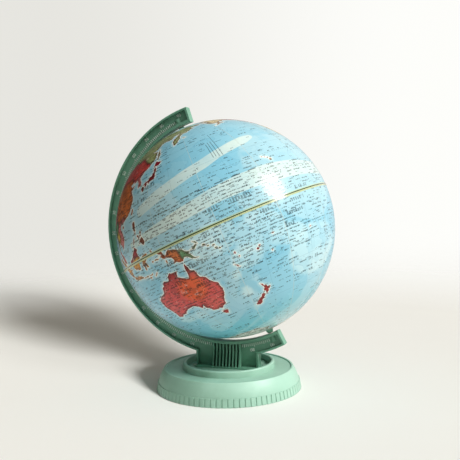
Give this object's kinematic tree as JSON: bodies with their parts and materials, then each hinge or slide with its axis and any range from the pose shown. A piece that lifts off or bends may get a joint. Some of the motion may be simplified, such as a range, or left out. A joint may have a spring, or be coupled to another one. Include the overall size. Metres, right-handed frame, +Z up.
{
  "type": "desktop globe on stand",
  "caption": "Desktop globe that spins on a tilted axis in a moulded meridian arm, standing on a weighted round fluted base.",
  "frame": {"origin": "on the floor, at the centre of the felt pad under the base", "axes": "+Z up; the meridian arm lies in the XZ plane and the globe's north pole leans towards -X; +Y is across the arm"},
  "size_m": [0.24, 0.2204, 0.2868],
  "materials": {
    "green_plastic": "satin moulded polystyrene, mint green",
    "zinc_steel": "zinc plated",
    "steel": "ground pin",
    "cast_iron": "as cast, painted black",
    "cover_plastic": "moulded, dark green",
    "felt": "pressed green felt",
    "nylon": "natural nylon",
    "globe_shell": "moulded, unpainted, hidden",
    "map_paper": "printed paper gores under clear varnish",
    "tape_paper": "printed strip under clear varnish"
  },
  "bodies": {
    "stand": {"base_shell": "green_plastic", "meridian_arm": "green_plastic", "arm_clamp_plate": "zinc_steel", "arm_screws": "zinc_steel", "ballast_ring": "cast_iron", "ballast_screws": "zinc_steel", "base_cover": "cover_plastic", "cover_screws": "zinc_steel", "felt_pad": "felt", "north_pivot_pin": "steel", "south_pivot_pin": "steel", "north_thrust_washer": "nylon", "south_thrust_washer": "nylon"},
    "globe": {"north_hemisphere": "globe_shell", "south_hemisphere": "globe_shell", "joint_hoop": "globe_shell", "north_map": "map_paper", "south_map": "map_paper", "equator_tape": "tape_paper", "north_pole_boss": "green_plastic", "south_pole_boss": "green_plastic", "north_boss_flange": "globe_shell", "south_boss_flange": "globe_shell"}
  },
  "joints": [
    {"name": "globe_spin", "type": "hinge", "parent": "stand", "child": "globe", "pos_m": [0, 0, 0.1625], "axis": [-0.3987, 0, 0.9171], "continuous": true}
  ]
}
